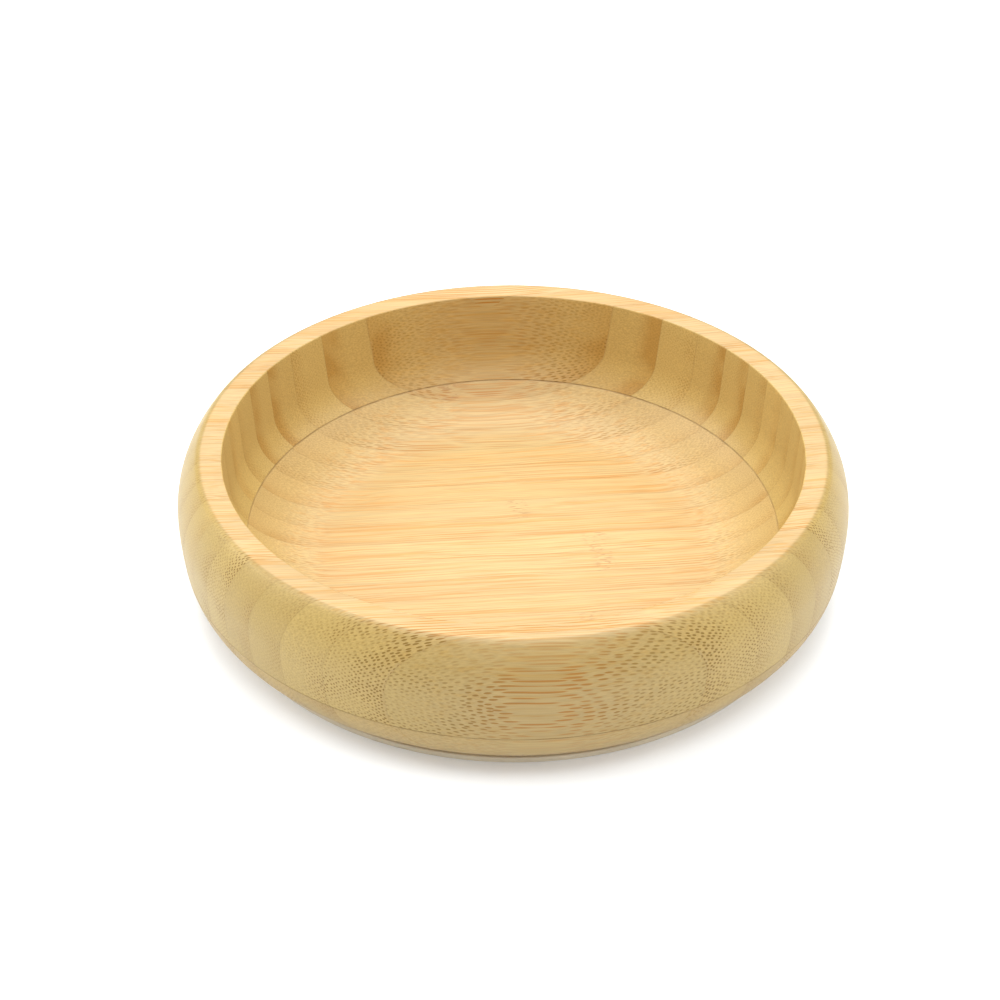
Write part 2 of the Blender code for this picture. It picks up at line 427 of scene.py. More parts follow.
@dataclass(frozen=True)
class BambooFinish:
    """Sanded and oiled bamboo: fibre bundles along X that crowd the front side of every strip.

    Lengths are in millimetres. The pattern fills the solid, so turned faces cut it as a lathe does:
    dots where a face crosses the fibres, dashes and streaks where it runs along them.
    """

    name: str
    ground: Colour
    warm: Colour
    side_grain: Colour
    end_grain: Colour
    streak: Colour
    bundle: Colour
    joint_height: float
    inside_skin: float = 0.88

    # Where a face shows which grain.
    crossing: Ramp = (0.10, 0.55)
    standing: Ramp = (0.88, 0.66)
    inside_radius: Ramp = (66.0, 67.0, 1.0, 0.0)

    # The pattern's patches, and how the fibres wander.
    pattern_spread: float = 61.0
    patch_spots: Sizes = (30, 5, 6)
    patch_strength: Ramp = (0.32, 0.66, 0.50, 1.20)
    wander_spots: Sizes = (38, 22, 22)
    wander_reach: float = 2.4

    # The fibre bundles.
    strip_width: float = 7.32
    row_pitch: tuple[float, float] = (0.38, 0.50)
    least_stretch: float = 0.3
    bundle_pitch: float = 0.95
    bundle_size: tuple[float, float] = (0.30, 0.21)
    bundle_edge: Ramp = (1.45, 0.60)
    scattering: float = 0.42
    crowding: Ramp = (0.04, 0.60, 1.15, 0.50)
    inside_bundles: float = 0.50
    dots_show: Ramp = (0.04, 0.28)

    # The wood between the bundles.
    line_spots: Sizes = (14, 0.26, 0.26)
    line_edge: Ramp = (0.28, 0.72)
    dark_line: tuple[float, float] = (0.90, 0.84)
    light_line: float = 1.10
    band_spots: Sizes = (46, 0.75, 0.75)
    band_edge: Ramp = (0.46, 0.70)
    side_grain_share: float = 0.45

    # The tint of the culm's skin side, and the painted shade that darkens the whole outside, from the rim's
    # crown down.
    skin: Colour = (0.82, 0.68, 0.48)
    skin_depth: Ramp = (0.0, 0.60, 1.0, 0.0)
    skin_by_grain: tuple[float, float] = (0.30, 1.0)
    skin_by_warmth: Ramp = (-0.12, 0.26, 0.30, 1.20)
    outside_skin: float = 0.22
    skin_from_warmth: float = 0.6
    # Painted shade: this colour darkens the outside, out past the rim's crown.
    outside: Colour = (0.79, 0.80, 0.73)
    shaded_outside_radius: Ramp = (68.9, 69.5)

    # The smudges at the culm's nodes.
    node_mark: Colour = (0.34, 0.19, 0.07)
    node_reach: Ramp = (4.0, 0.5)
    node_spots: Sizes = (2.2, 0.45, 0.45)
    node_edge: Ramp = (0.53, 0.64, 0.0, 0.85)

    # The glue between the strips, whose line would smear over a face that looks along Y, and
    # between the boards.
    joint_stain: Colour = (0.20, 0.120, 0.030)
    hairline: Ramp = (0.026, 0.004, 0.0, 0.14)
    hairline_smear: Ramp = (0.995, 0.93)
    joint_thickness: Ramp = (0.26, 0.08)
    joint_strength: Ramp = (64.0, 68.0, 0.60, 0.48)
    joint_spots: Sizes = (4, 4, 4)
    joint_patches: Ramp = (0.35, 0.65, 0.55, 1.0)

    # The surface.
    relief: tuple[float, float] = (0.5, 0.8)
    relief_strength: float = 0.35
    relief_height: float = 0.04
    roughness: tuple[float, float] = (0.44, 0.60)
    gloss: float = 0.38
    coat: float = 0.06
    coat_roughness: float = 0.32

    def material(self) -> bpy.types.Material:
        """Builds the material.

        Returns:
            The material, whose nodes read the strips' own values from the mesh.
        """
        sheet = NodeSheet(self.name)
        spot = self.spot(sheet)
        bundles = self.bundles(sheet, spot)
        lines = sheet.grain(spot.fibre, self.line_spots, spot.shift, detail=2.0)
        colour = self.wood(sheet, spot, lines)
        bundle_colour = sheet.mix(sheet.step(spot.facing[0], *self.dots_show), self.streak, self.bundle)
        colour = sheet.mix(bundles, colour, bundle_colour)
        colour = sheet.mix(self.node_marks(sheet, spot), colour, self.node_mark)
        colour = sheet.mix(self.glue(sheet, spot), colour, self.joint_stain)
        # Painted shade: the bowl's outside, out past the rim's crown, is darkened by the outside colour.
        outside = sheet.step(spot.radius, *self.shaded_outside_radius)
        colour = sheet.mix(outside, colour, sheet.tinted(colour, self.outside))

        raised, sunk = self.relief
        relief = sheet.math("SUBTRACT", sheet.product(lines, raised), sheet.product(bundles, sunk))
        surface = {
            "Base Color": colour,
            "Normal": sheet.bump(relief, self.relief_strength, self.relief_height),
            "Roughness": sheet.between(bundles, *self.roughness),
            "Specular IOR Level": self.gloss,
            "Coat Weight": self.coat,
            "Coat Roughness": self.coat_roughness,
        }
        return sheet.finished(surface)

    def spot(self, sheet: NodeSheet) -> BambooSpot:
        """Reads the spot's place and face, and its strip's own values.

        Args:
            sheet: The material's nodes.

        Returns:
            The spot.
        """
        where = sheet.add("TexCoord", {}).outputs
        x, y, z = sheet.split(sheet.scaled(where["Object"], 1 / MILLIMETRE))
        front, width, seed = sheet.split(sheet.attribute("strip_place"))
        tone, warmth, speckle = sheet.split(sheet.attribute("strip_look"))
        shift = sheet.product(seed, self.pattern_spread)
        facing = tuple(sheet.math("ABSOLUTE", part) for part in sheet.split(where["Normal"]))
        radius = sheet.length(x, y)
        return BambooSpot(
            place=(x, y, z),
            fibre=(x, *self.wander(sheet, (x, y, z), shift)),
            radius=radius,
            facing=facing,
            across=sheet.step(facing[0], *self.crossing),
            upright=sheet.step(facing[2], *self.standing),
            inside=sheet.step(radius, *self.inside_radius),
            front=front,
            depth=sheet.math("DIVIDE", sheet.math("SUBTRACT", y, front), width),
            shift=shift,
            patch=sheet.step(sheet.grain((x, y, z), self.patch_spots, shift), *self.patch_strength),
            tone=tone,
            warmth=warmth,
            speckle=speckle,
        )

    def wander(self, sheet: NodeSheet, place: Place, shift: Signal) -> tuple[Socket, Socket]:
        """Bends the fibres a little away from X.

        Args:
            sheet: The material's nodes.
            place: Where the pattern is read.
            shift: What sets this strip's pattern apart.

        Returns:
            Y and Z of the fibre that passes there.
        """
        turns = sheet.split(sheet.noise(sheet.spread(place, self.wander_spots, shift), "Color"))
        fibre_y, fibre_z = (
            sheet.math("MULTIPLY_ADD", sheet.math("SUBTRACT", turn, 0.5), self.wander_reach, straight)
            for turn, straight in zip(turns[1:], place[1:])
        )
        return fibre_y, fibre_z

    def wood(self, sheet: NodeSheet, spot: BambooSpot, lines: Signal) -> Socket:
        """Colours the wood between the bundles: warm bands, the side and end grain and fine lines.

        Args:
            sheet: The material's nodes.
            spot: The spot to colour.
            lines: The fine lines along the fibres.

        Returns:
            The colour.
        """
        bands = sheet.step(sheet.grain(spot.fibre, self.band_spots, spot.shift, detail=2.0), *self.band_edge)
        ground = sheet.mix(sheet.math("ADD", bands, spot.warmth, clamp=True), self.ground, self.warm)
        side = sheet.mix(sheet.product(spot.upright, self.side_grain_share), ground, self.side_grain)
        ground = sheet.mix(spot.across, side, self.end_grain)
        ground = sheet.mix(self.skin_share(sheet, spot), ground, sheet.tinted(ground, self.skin))
        dark_line = sheet.between(spot.across, *self.dark_line)
        gain = sheet.product(sheet.step(lines, *self.line_edge, dark_line, self.light_line), spot.tone)
        return sheet.tinted(ground, sheet.point(gain, gain, gain))

    def skin_share(self, sheet: NodeSheet, spot: BambooSpot) -> Socket:
        """Measures how far the wood has the tint of the culm's skin side.

        Args:
            sheet: The material's nodes.
            spot: The spot to colour.

        Returns:
            The tint's share, from 0 to 1.
        """
        share = sheet.product(
            sheet.step(spot.depth, *self.skin_depth),
            spot.patch,
            sheet.between(spot.across, *self.skin_by_grain),
            sheet.step(spot.warmth, *self.skin_by_warmth),
            sheet.between(spot.inside, self.outside_skin, self.inside_skin),
        )
        return sheet.math("MULTIPLY_ADD", spot.warmth, self.skin_from_warmth, share, clamp=True)

    def bundles(self, sheet: NodeSheet, spot: BambooSpot) -> Socket:
        """Adds the fibre bundles, strongest at the strip's front and weak on the bowl's inner end grain.

        Args:
            sheet: The material's nodes.
            spot: The spot to colour.

        Returns:
            How much of a bundle there is, from 0 to 1.
        """
        crowd = sheet.product(sheet.step(spot.depth, *self.crowding), spot.speckle, spot.patch)
        faint = sheet.between(sheet.product(spot.inside, spot.across), 1.0, self.inside_bundles)
        return sheet.math("MULTIPLY", sheet.product(self.bundle_rows(sheet, spot), crowd), faint, clamp=True)

    def bundle_rows(self, sheet: NodeSheet, spot: BambooSpot) -> Socket:
        """Lays out the bundles in staggered rows that lie closer together towards the strip's front.

        Args:
            sheet: The material's nodes.
            spot: The spot to colour.

        Returns:
            1 in a bundle and 0 between them.
        """
        _, across, up = spot.fibre
        near_pitch, far_pitch = self.row_pitch
        growth = (far_pitch / near_pitch - 1.0) / self.strip_width
        behind = sheet.math("SUBTRACT", across, spot.front)
        stretch = sheet.math("MAXIMUM", sheet.math("MULTIPLY_ADD", behind, growth, 1.0), self.least_stretch)
        rows = sheet.product(sheet.math("LOGARITHM", stretch, math.e), 1.0 / (near_pitch * growth))
        column = sheet.math("MULTIPLY_ADD", up, 1.0 / self.bundle_pitch, spot.shift)
        first, second = (sheet.math("MULTIPLY_ADD", rows, half, column) for half in (0.5, -0.5))
        inputs = {"Vector": sheet.point(first, second, 0.0), "Scale": 1.0, "Randomness": self.scattering}
        cells = sheet.add("TexVoronoi", inputs, voronoi_dimensions="2D", feature="F1")
        middle_first, middle_second, _ = sheet.split(cells.outputs["Position"])
        off_first = sheet.math("SUBTRACT", first, middle_first)
        off_second = sheet.math("SUBTRACT", second, middle_second)
        wide, tall = self.bundle_size
        off_row = sheet.product(sheet.math("SUBTRACT", off_first, off_second), 1.0 / wide)
        off_column = sheet.product(sheet.math("ADD", off_first, off_second), 0.5 / tall)
        return sheet.step(sheet.length(off_row, off_column), *self.bundle_edge)

    def node_marks(self, sheet: NodeSheet, spot: BambooSpot) -> Socket:
        """Adds the short dark smudges where a strip crosses a node of the culm.

        Args:
            sheet: The material's nodes.
            spot: The spot to colour.

        Returns:
            How much of a mark there is, from 0 to 1.
        """
        node_x = sheet.attribute("strip_node_x", "Fac")
        distance = sheet.math("ABSOLUTE", sheet.math("SUBTRACT", spot.place[0], node_x))
        smudge = sheet.grain(spot.fibre, self.node_spots, spot.shift, detail=1.0)
        return sheet.product(sheet.step(distance, *self.node_reach), sheet.step(smudge, *self.node_edge))

    def glue(self, sheet: NodeSheet, spot: BambooSpot) -> Socket:
        """Adds a faint hairline at each side of a strip, and the level joint between the boards.

        Args:
            sheet: The material's nodes.
            spot: The spot to colour.

        Returns:
            How much of the glue's stain there is, from 0 to 1.
        """
        edge = sheet.math("MINIMUM", spot.depth, sheet.math("SUBTRACT", 1.0, spot.depth))
        clear = sheet.step(spot.facing[1], *self.hairline_smear)
        hairline = sheet.product(sheet.step(edge, *self.hairline), clear)
        strength = sheet.step(spot.radius, *self.joint_strength)
        uneven = sheet.step(sheet.grain(spot.place, self.joint_spots, 0.0), *self.joint_patches)
        distance = sheet.math("ABSOLUTE", sheet.math("SUBTRACT", spot.place[2], self.joint_height))
        level = sheet.step(distance, *self.joint_thickness)
        return sheet.math("MAXIMUM", hairline, sheet.product(level, strength, uneven))


@dataclass(frozen=True)
class SiliconeFinish:
    """Matt moulded silicone, slightly see-through at its thin edges. Lengths are in millimetres."""

    name: str = "stone_silicone"
    colour: Colour = (0.60, 0.52, 0.38)
    cloud_gain: float = 0.90
    cloud_spacing: float = 14.0
    grain_spacing: float = 0.35
    contrast: Ramp = (0.3, 0.7)
    roughness: tuple[float, float] = (0.50, 0.64)
    relief_strength: float = 0.25
    relief_height: float = 0.02
    see_through: float = 0.12
    see_through_depth: float = 1.5
    see_through_tint: Colour = (1.0, 0.8, 0.6)

    def material(self) -> bpy.types.Material:
        """Builds the material.

        Returns:
            The material.
        """
        sheet = NodeSheet(self.name)
        where = sheet.add("TexCoord", {}).outputs["Object"]
        grain = sheet.noise(sheet.scaled(where, 1 / (self.grain_spacing * MILLIMETRE)), detail=3.0)
        cloud = sheet.noise(sheet.scaled(where, 1 / (self.cloud_spacing * MILLIMETRE)))
        darker = tuple(self.cloud_gain * part for part in self.colour)
        surface = {
            "Base Color": sheet.mix(sheet.step(cloud, *self.contrast), self.colour, darker),
            "Roughness": sheet.step(grain, *self.contrast, *self.roughness),
            "Normal": sheet.bump(grain, self.relief_strength, self.relief_height),
            "Subsurface Weight": self.see_through,
            "Subsurface Radius": self.see_through_tint,
            "Subsurface Scale": self.see_through_depth * MILLIMETRE,
        }
        return sheet.finished(surface)


@dataclass(frozen=True)
class PaperFinish:
    """The studio's white table top, lit a little from below. Lengths are in millimetres."""

    name: str = "studio_paper"
    colour: Colour = (0.86, 0.89, 0.92)
    fibre_spacing: float = 2.0
    contrast: Ramp = (0.3, 0.7)
    roughness: tuple[float, float] = (0.75, 0.85)
    gloss: float = 0.2
    glow: float = 0.04

    def material(self) -> bpy.types.Material:
        """Builds the material.

        Returns:
            The material.
        """
        sheet = NodeSheet(self.name)
        where = sheet.add("TexCoord", {}).outputs["Object"]
        fibre = sheet.noise(sheet.scaled(where, 1 / (self.fibre_spacing * MILLIMETRE)), detail=4.0)
        surface = {
            "Base Color": self.colour,
            "Roughness": sheet.step(fibre, *self.contrast, *self.roughness),
            "Specular IOR Level": self.gloss,
            "Emission Color": (1.0, 1.0, 1.0),
            "Emission Strength": self.glow,
        }
        return sheet.finished(surface)


@dataclass(frozen=True)
class BowlSection:
    """Half section of the turned bowl, as radius from its axis and height from the table."""

    belly_radius: float = CAD_HIGH.x
    belly_height: float = 0.0214
    joint_height: float = 0.0127
    joint_outer_radius: float = 0.0744
    underside_height: float = 0.0014
    bottom_round_radius: float = 0.0130
    shoulder_radius: float = 0.0192
    shoulder_end: float = math.radians(39.7)
    rim_round_radius: float = 0.0025
    rim_tilt: float = math.radians(93)
    wall_top_radius: float = 0.0644
    rim_inner_height: float = 0.03435
    rim_arris: float = 0.00035
    floor_height: float = 0.0046
    flat_floor_radius: float = 0.0415
    sweep_radius: float = 0.0222
    sweep_height: float = 0.0176
    sweep_end: float = math.radians(-2.6)
    recess_outer_radius: float = 0.0610
    recess_inner_radius: float = 0.0472
    recess_height: float = 0.0026
    groove_middle_radius: float = 0.0555
    groove_width: float = 0.0026
    groove_height: float = 0.0056

    def belly_arc_radius(self) -> float:
        """Finds the long arc between the widest point and the joint.

        Returns:
            The arc's radius.
        """
        drop = self.belly_height - self.joint_height
        inset = self.belly_radius - self.joint_outer_radius
        return (drop * drop + inset * inset) / (2 * inset)

    def joint_slope(self) -> float:
        """How far the outside leans in at the joint, in radians."""
        return math.asin((self.belly_height - self.joint_height) / self.belly_arc_radius())

    def outside_above_joint(self) -> Section:
        """Draws the rim's crown, the shoulder and the belly.

        Returns:
            The points from the top down to the joint.
        """
        centre = (self.belly_radius - self.shoulder_radius, self.belly_height)
        reach = self.shoulder_radius - self.rim_round_radius
        turn = self.shoulder_end
        crown = (centre[0] + reach * math.cos(turn), centre[1] + reach * math.sin(turn))
        rim = arc(crown, (self.rim_round_radius,) * 2, self.rim_tilt, turn, steps=9)
        shoulder = arc(centre, (self.shoulder_radius,) * 2, turn, 0.0, steps=16)
        long_radius = self.belly_arc_radius()
        middle = (self.belly_radius - long_radius, self.belly_height)
        belly = arc(middle, (long_radius,) * 2, 0.0, -self.joint_slope(), steps=5)
        return rim + shoulder[1:] + belly[1:]

    def outside_below_joint(self) -> Section:
        """Draws the bottom round.

        Returns:
            The points from the joint to the flat underside.
        """
        slope = self.joint_slope()
        middle_radius = self.joint_outer_radius - self.bottom_round_radius * math.cos(slope)
        centre = (middle_radius, self.underside_height + self.bottom_round_radius)
        return arc(centre, (self.bottom_round_radius,) * 2, -slope, -QUARTER, steps=18)

    def sweep(self, start: float, end: float, steps: int) -> Section:
        """Draws part of the sweep between the flat floor and the wall, from a start to an end angle."""
        centre = (self.flat_floor_radius, self.floor_height + self.sweep_height)
        return arc(centre, (self.sweep_radius, self.sweep_height), start, end, steps)

    def sweep_angle(self, height: float) -> float:
        """Angle on the sweep at a height."""
        return -math.asin((self.floor_height + self.sweep_height - height) / self.sweep_height)

    def inside_above_joint(self) -> Section:
        """Draws the inside of the wall, up to the rim's slightly rounded inner edge.

        Returns:
            The points from the joint up.
        """
        lower = self.sweep(self.sweep_angle(self.joint_height), self.sweep_end, steps=8)
        centre = (self.wall_top_radius + self.rim_arris, self.rim_inner_height - self.rim_arris)
        edge = arc(centre, (self.rim_arris,) * 2, 2 * QUARTER, self.rim_tilt, steps=4)
        (foot_radius, foot_height), (top_radius, top_height) = lower[-1], edge[0]
        lean, rise = top_radius - foot_radius, top_height - foot_height
        wall = [(foot_radius + lean * share, foot_height + rise * share) for share in (0.25, 0.5, 0.75)]
        return lower + wall + edge

    def inside_below_joint(self) -> Section:
        """The floor from the axis out to the joint."""
        rings = [(self.flat_floor_radius * k / 4, self.floor_height) for k in range(4)]
        return rings + self.sweep(-QUARTER, self.sweep_angle(self.joint_height), steps=22)

    def underside(self) -> Section:
        """Draws the recess and the groove for the suction ring.

        Returns:
            The points from the bottom round in to the axis.
        """
        groove_outer = self.groove_middle_radius + self.groove_width / 2
        groove_inner = self.groove_middle_radius - self.groove_width / 2
        return [
            (self.recess_outer_radius, self.underside_height),
            (self.recess_outer_radius, self.recess_height),
            (groove_outer, self.recess_height),
            (groove_outer, self.groove_height),
            (groove_inner, self.groove_height),
            (groove_inner, self.recess_height),
            (self.recess_inner_radius, self.recess_height),
            (self.recess_inner_radius, self.underside_height),
            (self.recess_inner_radius / 2, self.underside_height),
            (0.0, self.underside_height),
        ]


@dataclass(frozen=True)
class Strip:
    """One strip of a board, or one end of a strip that the turning has cut in two.

    Attributes:
        node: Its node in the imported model.
        number: Its number, counted from the front.
        front: Y of its glue line in front.
        back: Y of its glue line behind.
        side: Which end it is.
    """

    node: str
    number: int
    front: float
    back: float
    side: Side


@dataclass
class StripBoard:
    """A board of glued strips, turned and then parted at its glue lines."""

    section: BowlSection
    finish: BambooFinish
    slot: Slot
    steps: int = 384
    glue_gap: float = 0.00002
    joint_gap: float = 0.00002
    inner_chamfer: float = 0.00012
    outer_chamfer: float = 0.00004
    sharp_over: float = math.radians(32)
    first_front: float = -0.07525
    prefix: str = ""
    culm_nodes: dict[int, float] = field(default_factory=dict)
    speckles: dict[int, float] = field(default_factory=dict)
    warmths: dict[int, float] = field(default_factory=dict)
    tone_range: tuple[float, float] = (0.95, 1.03)
    warmth_range: tuple[float, float] = (-0.12, 0.14)
    speckle_range: tuple[float, float] = (0.34, 0.72)
    no_node: float = 500.0
    widest_strip: float = 0.0078
    cut_tolerance: float = 1e-8

    def profile(self) -> tuple[Section, bool]:
        """The board's turned section, and whether it is closed."""
        raise NotImplementedError

    def draw(self, number: int, what: str, reach: tuple[float, float]) -> float:
        """Draws one of a strip's own values within its reach, the same in every run."""
        low, high = reach
        return low + (high - low) * scatter(f"{self.prefix}{number}{what}")

    def look(self, number: int) -> StripLook:
        """Finds how one of the board's strips differs from the others.

        Args:
            number: The strip's number, counted from the front.

        Returns:
            The strip's look.
        """
        tone = self.draw(number, "tone", self.tone_range)
        warmth = self.warmths.get(number, self.draw(number, "warmth", self.warmth_range))
        speckle = self.speckles.get(number, self.draw(number, "speckle", self.speckle_range))
        return StripLook(tone, warmth, speckle)

    def strips(self) -> Iterator[Strip]:
        """Finds the board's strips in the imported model.

        Yields:
            Each strip, between its glue lines.
        """
        names = sorted(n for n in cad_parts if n.startswith(self.prefix))
        numbers = {n: int(n[len(self.prefix) :].split("_")[0]) for n in names}
        boxes = {numbers[n]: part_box(n) for n in names}
        ends = {"left": Side.LEFT, "right": Side.RIGHT}
        for name in names:
            number = numbers[name]
            low, high = boxes[number]
            front, back = self.first_front, -self.first_front
            if number - 1 in boxes:
                front = (boxes[number - 1][1].y + low.y) / 2
            if number + 1 in boxes:
                back = (high.y + boxes[number + 1][0].y) / 2
            yield Strip(name, number, front, back, ends.get(name.split("_")[-1], Side.BOTH))

    def slab(self, board: bmesh.types.BMesh, strip: Strip) -> bmesh.types.BMesh:
        """Parts one strip from the turned board.

        Args:
            board: The whole board.
            strip: The strip.

        Returns:
            The strip as a closed surface.
        """
        part = board.copy()
        low, high = strip.front + self.glue_gap / 2, strip.back - self.glue_gap / 2
        spare = []
        for face in part.faces:
            reach = [v.co.y for v in face.verts]
            if max(reach) < low or min(reach) > high:
                spare.append(face)
        bmesh.ops.delete(part, geom=spare, context="FACES")
        for y, outward in ((low, -1.0), (high, 1.0)):
            everything = part.verts[:] + part.edges[:] + part.faces[:]
            bmesh.ops.bisect_plane(
                part,
                geom=everything,
                dist=self.cut_tolerance,
                plane_co=(0, y, 0),
                plane_no=(0, outward, 0),
                clear_outer=True,
            )
        if strip.side is not Side.BOTH:
            other = [f for f in part.faces if f.calc_center_median().x * strip.side.value < 0]
            bmesh.ops.delete(part, geom=other, context="FACES")
        open_edges = [e for e in part.edges if e.is_boundary]
        bmesh.ops.holes_fill(part, edges=open_edges, sides=0)
        bmesh.ops.recalc_face_normals(part, faces=part.faces[:])
        return part

    def write_look(self, piece: bpy.types.Object, strip: Strip) -> None:
        """Writes a strip's own values to its mesh, where the finish reads them.

        Args:
            piece: The strip's object.
            strip: The strip.
        """
        count = len(piece.data.vertices)
        look = self.look(strip.number)
        width = min(strip.back - strip.front, self.widest_strip)
        seed = scatter(f"{self.prefix}{strip.number}")
        vectors = {
            "strip_place": (strip.front / MILLIMETRE, width / MILLIMETRE, seed),
            "strip_look": (look.tone, look.warmth, look.speckle),
        }
        for name, vector in vectors.items():
            values = piece.data.attributes.new(name, "FLOAT_VECTOR", "POINT")
            values.data.foreach_set("vector", vector * count)
        culm_node = piece.data.attributes.new("strip_node_x", "FLOAT", "POINT")
        culm_node.data.foreach_set("value", (self.culm_nodes.get(strip.number, self.no_node),) * count)

    def build(self) -> list[bpy.types.Object]:
        """Builds the board's strips.

        Returns:
            The strips.
        """
        section, closed = self.profile()
        board = turned(section, closed, self.steps)
        material = self.finish.material()
        made = []
        for strip in self.strips():
            piece = finished_piece(f"turned_{strip.node}", self.slab(board, strip), self.sharp_over)
            self.write_look(piece, strip)
            piece.data.materials.append(material)
            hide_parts(strip.node)
            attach(piece, Body.BOWL.value)
            made.append(piece)
            log.info("%s: %d faces", piece.name, len(piece.data.polygons))
        board.free()
        return made


@dataclass
class WallBoard(StripBoard):
    """The upper board, turned into the bowl's wall and rim."""

    prefix: str = "wall_strip_"

    def profile(self) -> tuple[Section, bool]:
        """Draws the board down its outside, in along the joint and up its inside.

        Returns:
            The section, which is closed.
        """
        joint = self.section.joint_height + self.joint_gap / 2
        outside = self.section.outside_above_joint()
        inside = self.section.inside_above_joint()
        (outer_radius, _), (inner_radius, _) = outside[-1], inside[0]
        chamfers = [
            (outer_radius, joint + self.outer_chamfer),
            (outer_radius - self.outer_chamfer, joint),
            (inner_radius + self.inner_chamfer, joint),
            (inner_radius + self.inner_chamfer / 2, joint + self.inner_chamfer),
        ]
        return outside[:-1] + chamfers + inside[1:], True


@dataclass
class FloorBoard(StripBoard):
    """The lower board, with the dished floor above and the recess for the suction ring below."""

    prefix: str = "floor_strip_"

    def profile(self) -> tuple[Section, bool]:
        """Draws the board from the axis on its floor, round its bottom, to the axis underneath.

        Returns:
            The section, which starts and ends on the axis.
        """
        joint = self.section.joint_height - self.joint_gap / 2
        inside = self.section.inside_below_joint()
        outside = self.section.outside_below_joint()
        (inner_radius, _), (outer_radius, _) = inside[-1], outside[0]
        chamfers = [
            (inner_radius - self.inner_chamfer / 2, joint - self.inner_chamfer),
            (inner_radius + self.inner_chamfer, joint),
            (outer_radius - self.outer_chamfer, joint),
            (outer_radius, joint - self.outer_chamfer),
        ]
        return inside[:-1] + chamfers + outside[1:] + self.section.underside(), False


@dataclass
class SuctionRing:
    """The silicone ring: a lip that seals on the table, a flange, and a collar plugged into the bowl."""

    bowl: BowlSection
    finish: bpy.types.Material
    node: str = "suction_ring"
    edge_round: float = 0.00035
    lip_clearance: float = 0.00003
    seal_inner_radius: float = 0.0632
    chamber_roof: float = 0.0008
    chamber_slope: float = 0.0020
    clearance: float = 0.0003
    land_grooves: int = 3
    land_groove_width: float = 0.0005
    land_groove_depth: float = 0.00018
    steps: int = 320
    sharp_over: float = math.radians(40)

    def rounded(self, corner: Point, start: float, end: float) -> Section:
        """Rounds a corner of the section.

        Args:
            corner: Radius and height of the corner.
            start: Direction that the round starts facing, in radians.
            end: Direction that it ends facing.

        Returns:
            The points of the round.
        """
        middle = (start + end) / 2
        reach = self.edge_round * math.sqrt(2)
        centre = (corner[0] - reach * math.cos(middle), corner[1] - reach * math.sin(middle))
        return arc(centre, (self.edge_round,) * 2, start, end, steps=5)

    def sealing_land(self, outer: float) -> Section:
        """Draws the flat underside of the lip, with the shallow grooves that break the film of water.

        Args:
            outer: Radius where the flat starts.

        Returns:
            The points from outer in to the chamber.
        """
        points = []
        pitch = (outer - self.seal_inner_radius) / (self.land_grooves + 1)
        for k in range(1, self.land_grooves + 1):
            middle = outer - k * pitch
            half = self.land_groove_width / 2
            points += [(middle + half, 0.0), (middle, self.land_groove_depth), (middle - half, 0.0)]
        return points + [(self.seal_inner_radius, 0.0)]

    def profile(self) -> Section:
        """Draws the ring, down its outer side.

        Returns:
            The closed section.
        """
        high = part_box(self.node)[1]
        outer, inner = high.x, self.bowl.recess_inner_radius + self.clearance
        lip_top = self.bowl.underside_height - self.lip_clearance
        flange_top = self.bowl.recess_height - self.clearance / 2
        collar = self.bowl.groove_width / 2 - self.clearance / 2
        collar_outer = self.bowl.groove_middle_radius + collar
        collar_inner = self.bowl.groove_middle_radius - collar
        collar_top = high.z
        shoulder = self.bowl.recess_outer_radius - self.clearance / 2
        edge = self.rounded((outer, lip_top), QUARTER, 0.0) + self.rounded((outer, 0.0), 0.0, -QUARTER)
        roof = self.chamber_roof
        chamber = [
            (self.seal_inner_radius - self.chamber_slope * t, roof * (0.5 - 0.5 * math.cos(math.pi * t)))
            for t in (0.2, 0.4, 0.6, 0.8, 1.0)
        ]
        return (
            edge
            + self.sealing_land(outer - self.edge_round)
            + chamber
            + [(inner + self.edge_round, roof), (inner, roof + self.edge_round)]
            + self.rounded((inner, flange_top), 2 * QUARTER, QUARTER)
            + [(collar_inner, flange_top)]
            + self.rounded((collar_inner, collar_top), 2 * QUARTER, QUARTER)
            + self.rounded((collar_outer, collar_top), QUARTER, 0.0)
            + [(collar_outer, flange_top), (shoulder, flange_top), (shoulder, lip_top)]
        )

    def build(self) -> bpy.types.Object:
        """Builds the ring.

        Returns:
            The ring.
        """
        solid = turned(self.profile(), True, self.steps)
        piece = finished_piece("moulded_suction_ring", solid, self.sharp_over)
        piece.data.materials.append(self.finish)
        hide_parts(self.node)
        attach(piece, Body.BASE.value)
        log.info("%s: %d faces", piece.name, len(piece.data.polygons))
        return piece


